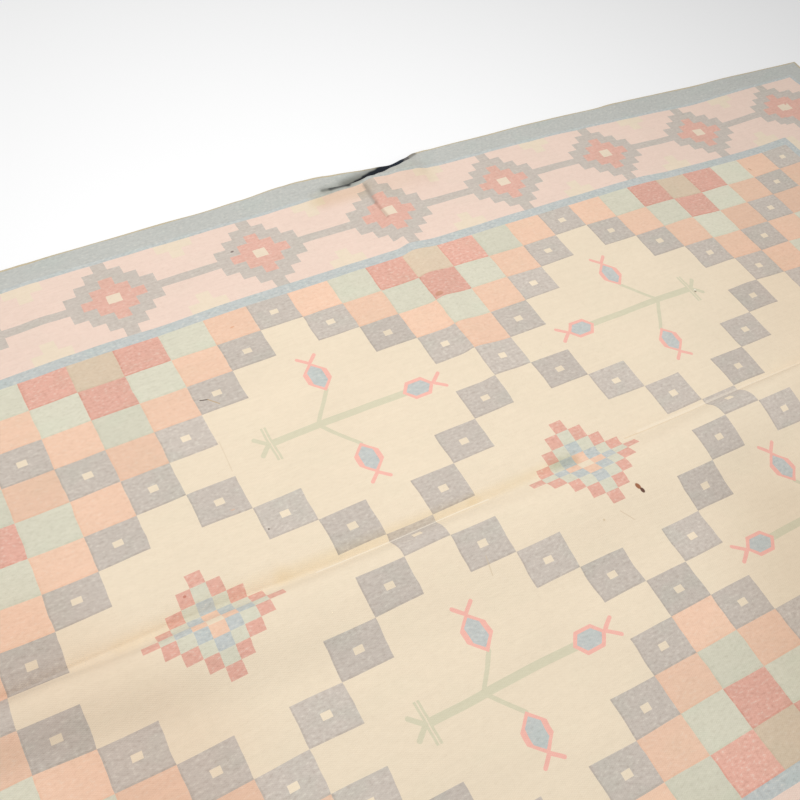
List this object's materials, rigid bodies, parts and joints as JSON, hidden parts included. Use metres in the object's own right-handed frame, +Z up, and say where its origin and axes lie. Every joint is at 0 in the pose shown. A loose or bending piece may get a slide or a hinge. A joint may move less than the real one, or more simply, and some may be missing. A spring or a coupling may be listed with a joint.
{
  "type": "flat woven rug",
  "caption": "Large rectangular flat-woven cotton rug for covering a floor, with a soft fold line along its middle and a buckled edge.",
  "frame": {"origin": "on the floor under the middle of the rug", "axes": "+X along the rug's length, +Y across its width towards the buckled edge, +Z up"},
  "size_m": [2.7508, 1.7348, 0.0323],
  "materials": {
    "faded_cotton": "matt woven cotton, faded cream ground with grey, peach, rose and mint"
  },
  "bodies": {
    "root": {"rug": "faded_cotton"}
  },
  "joints": []
}
